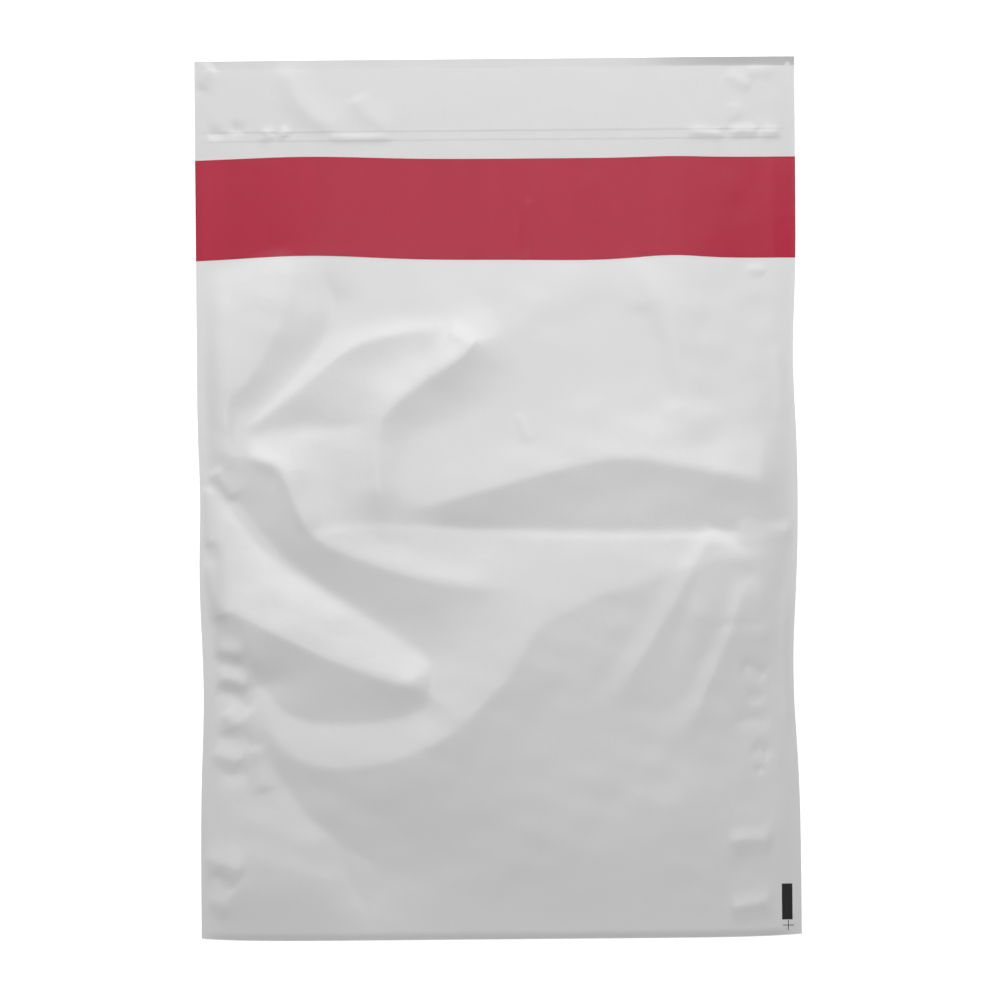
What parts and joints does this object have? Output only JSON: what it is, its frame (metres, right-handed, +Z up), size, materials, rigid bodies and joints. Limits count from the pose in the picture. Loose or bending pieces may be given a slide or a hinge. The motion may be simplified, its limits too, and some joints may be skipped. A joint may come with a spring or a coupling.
{
  "type": "tamper-evident deposit bag",
  "caption": "Flat film deposit bag lying on its back, creased front panel, red security tape across it, welded sides and an adhesive strip under a liner between its lips.",
  "frame": {"origin": "on the surface that the bag lies on, under the middle of its outline", "axes": "+X to the right across the bag, +Y from the bottom fold to the mouth, +Z up out of the front panel"},
  "size_m": [0.3, 0.44, 0.0074],
  "materials": {
    "white_film": "white blown polyethylene film, semi-gloss, grey inside",
    "adhesive": "pale tacky pressure-sensitive adhesive",
    "liner_paper": "siliconised release paper",
    "red_tape": "red polyester tape, satin"
  },
  "bodies": {
    "root": {"film_pouch": "white_film", "adhesive_strip": "adhesive", "release_liner": "liner_paper", "security_tape": "red_tape"}
  },
  "joints": []
}
